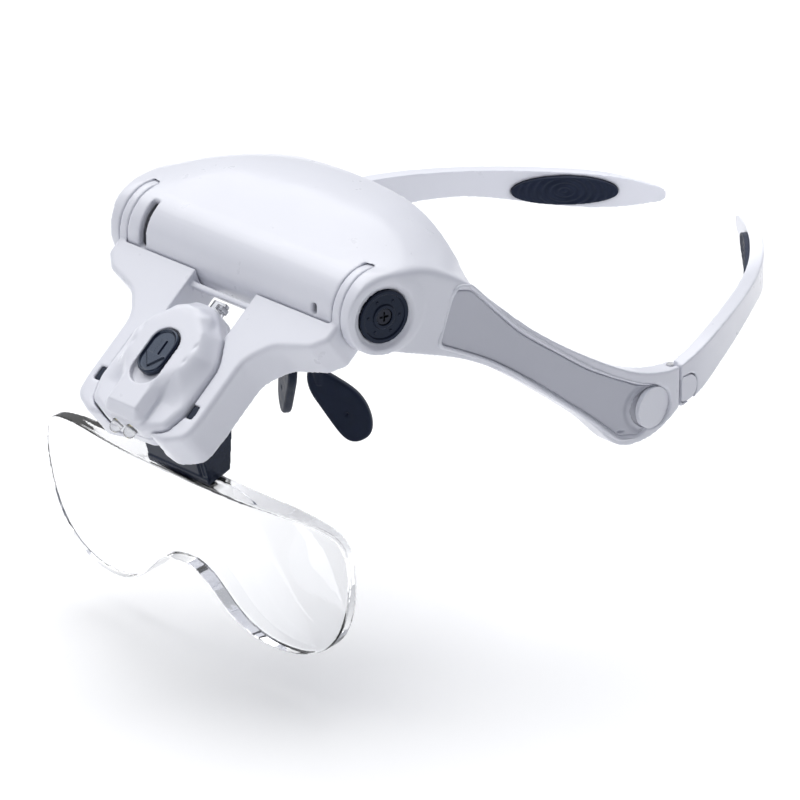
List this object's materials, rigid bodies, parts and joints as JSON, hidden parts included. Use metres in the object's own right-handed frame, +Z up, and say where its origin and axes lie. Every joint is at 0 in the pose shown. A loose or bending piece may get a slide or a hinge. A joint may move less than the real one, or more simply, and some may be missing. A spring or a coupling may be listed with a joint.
{
  "type": "head visor magnifier",
  "caption": "Head-worn magnifier: white visor frame with folding temples, flip-up yoke with a tilting lamp and a slide-out clear goggle lens.",
  "frame": {"origin": "midway between the two nose pads, where the visor sits on the wearer's nose", "axes": "+X towards the wearer's left, +Y towards the back of the head along the temples, +Z up; the lens faces -Y"},
  "size_m": [0.1398, 0.2044, 0.1011],
  "materials": {
    "clear_acrylic": "polished clear acrylic",
    "clear_led": "clear epoxy",
    "black_rubber": "soft matt rubber",
    "black_plastic": "semi-gloss moulding",
    "steel": "plated",
    "black_steel": "blackened",
    "cell_steel": "bright",
    "board_green": "solder mask",
    "dark_plastic": "matt",
    "panel_white": "satin gloss",
    "white_plastic": "gloss moulding"
  },
  "bodies": {
    "frame": {"front_cover": "white_plastic", "inner_cover": "white_plastic", "side_panel_left": "panel_white", "side_panel_right": "panel_white", "pivot_cap_left": "black_plastic", "pivot_cap_right": "black_plastic", "pivot_screw_left": "black_steel", "pivot_screw_right": "black_steel", "hinge_cap_left": "white_plastic", "hinge_cap_right": "white_plastic", "hinge_pin_left": "steel", "hinge_pin_right": "steel", "cover_screws": "steel", "nose_bridge": "black_plastic", "nose_pins": "steel"},
    "yoke": {"yoke": "white_plastic", "lens_spigot": "black_plastic", "trunnion_stops": "black_plastic"},
    "lamp": {"lamp_front_shell": "white_plastic", "lamp_back_shell": "white_plastic", "coin_cells": "cell_steel", "cell_contact": "steel", "led_board": "board_green", "leds": "clear_led", "switch_body": "dark_plastic", "trunnion_pins": "steel"},
    "switch": {"switch_knob": "black_plastic"},
    "lens": {"lens": "clear_acrylic", "lens_holder": "black_plastic"},
    "nose_pad_left": {"nose_pad_left": "black_rubber"},
    "nose_pad_right": {"nose_pad_right": "black_rubber"},
    "temple_left": {"temple_left": "white_plastic", "temple_pad_left": "black_rubber", "latch_spring_left": "steel"},
    "temple_right": {"temple_right": "white_plastic", "temple_pad_right": "black_rubber", "latch_spring_right": "steel"},
    "latch_left": {"latch_left": "white_plastic"},
    "latch_right": {"latch_right": "white_plastic"}
  },
  "joints": [
    {"name": "yoke_flip", "type": "hinge", "parent": "frame", "child": "yoke", "pos_m": [0, -0.02, 0.045], "axis": [-1, 0, 0], "range_deg": [0, 80]},
    {"name": "lamp_tilt", "type": "hinge", "parent": "yoke", "child": "lamp", "pos_m": [0, -0.05444, 0.0197], "axis": [1, 0, 0], "range_deg": [0, 7]},
    {"name": "switch_slide", "type": "slide", "parent": "lamp", "child": "switch", "axis": [0, -0.788, -0.6157], "range_m": [0, 0.0026]},
    {"name": "lens_slide", "type": "slide", "parent": "yoke", "child": "lens", "axis": [0, 0.0872, -0.9962], "range_m": [0, 0.01]},
    {"name": "nose_pad_left_tilt", "type": "hinge", "parent": "frame", "child": "nose_pad_left", "pos_m": [0.0046, -0.007, 0.0364], "axis": [0, 1, 0], "range_deg": [-8, 8]},
    {"name": "nose_pad_right_tilt", "type": "hinge", "parent": "frame", "child": "nose_pad_right", "pos_m": [-0.0046, -0.007, 0.0364], "axis": [0, 1, 0], "range_deg": [-8, 8]},
    {"name": "temple_left_fold", "type": "hinge", "parent": "frame", "child": "temple_left", "pos_m": [0.0652, 0.0554, 0.011], "axis": [0, 0, 1], "range_deg": [0, 75]},
    {"name": "temple_right_fold", "type": "hinge", "parent": "frame", "child": "temple_right", "pos_m": [-0.0652, 0.0554, 0.011], "axis": [0, 0, 1], "range_deg": [-75, 0]},
    {"name": "latch_left_press", "type": "slide", "parent": "temple_left", "child": "latch_left", "axis": [-1, 0, 0], "range_m": [0, 0.0007], "stiffness_N_per_m": 1500, "springref_m": -0.0003},
    {"name": "latch_right_press", "type": "slide", "parent": "temple_right", "child": "latch_right", "axis": [1, 0, 0], "range_m": [0, 0.0007], "stiffness_N_per_m": 1500, "springref_m": -0.0003}
  ]
}
